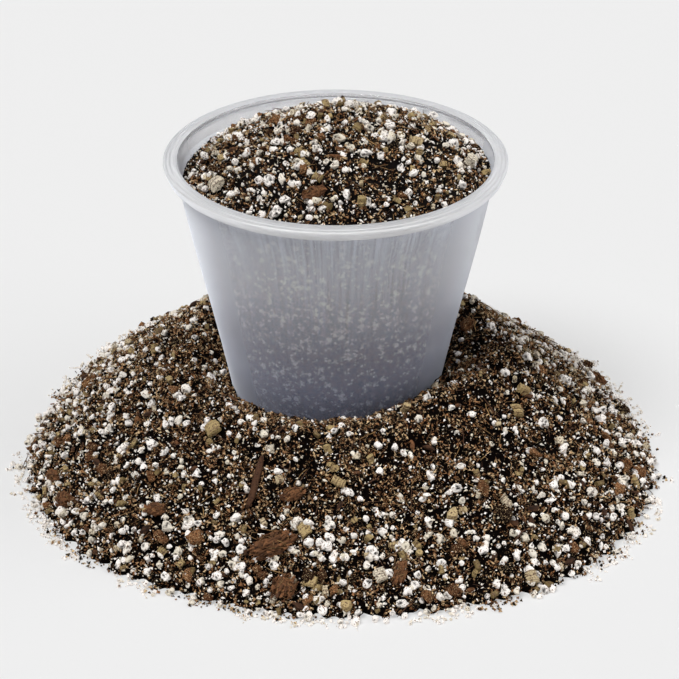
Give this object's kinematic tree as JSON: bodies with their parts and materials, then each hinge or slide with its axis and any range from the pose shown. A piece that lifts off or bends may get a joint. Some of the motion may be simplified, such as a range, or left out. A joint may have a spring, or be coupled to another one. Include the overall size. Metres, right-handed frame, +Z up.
{
  "type": "pot of potting mix",
  "caption": "Frosted tapered plant pot heaped with potting mix, standing in a mound of the same mix of peat, perlite, vermiculite and bark.",
  "frame": {"origin": "on the pot's axis, at the flat underside of the mound", "axes": "+Z up along the pot's axis, -Y towards the flank where the mix lies lowest on the pot"},
  "size_m": [0.2677, 0.2874, 0.1608],
  "materials": {
    "pot": "frosted translucent, faint upright streaks",
    "mix": "rough, crumbly, matt",
    "perlite": "matt, pitted",
    "vermiculite": "layered, slight sheen",
    "bark": "rough, fibrous",
    "twig": "rough bark"
  },
  "bodies": {
    "root": {"bark_01": "bark", "bark_02": "bark", "bark_03": "bark", "bark_04": "bark", "bark_05": "bark", "bark_06": "bark", "bark_07": "bark", "bark_08": "bark", "bark_09": "bark", "mound": "mix", "perlite_01": "perlite", "perlite_02": "perlite", "perlite_03": "perlite", "perlite_04": "perlite", "perlite_05": "perlite", "perlite_06": "perlite", "perlite_07": "perlite", "perlite_08": "perlite", "perlite_09": "perlite", "perlite_10": "perlite", "perlite_11": "perlite", "perlite_12": "perlite", "perlite_13": "perlite", "perlite_14": "perlite", "perlite_15": "perlite", "perlite_16": "perlite", "perlite_17": "perlite", "perlite_18": "perlite", "perlite_19": "perlite", "perlite_20": "perlite", "perlite_21": "perlite", "pot": "pot", "pot_mix": "mix", "twig_01": "twig", "vermiculite_01": "vermiculite", "vermiculite_02": "vermiculite", "vermiculite_03": "vermiculite", "vermiculite_04": "vermiculite", "vermiculite_05": "vermiculite", "vermiculite_06": "vermiculite", "vermiculite_07": "vermiculite", "vermiculite_08": "vermiculite", "vermiculite_09": "vermiculite", "vermiculite_10": "vermiculite", "vermiculite_11": "vermiculite", "vermiculite_12": "vermiculite", "vermiculite_13": "vermiculite", "vermiculite_14": "vermiculite"}
  },
  "joints": []
}
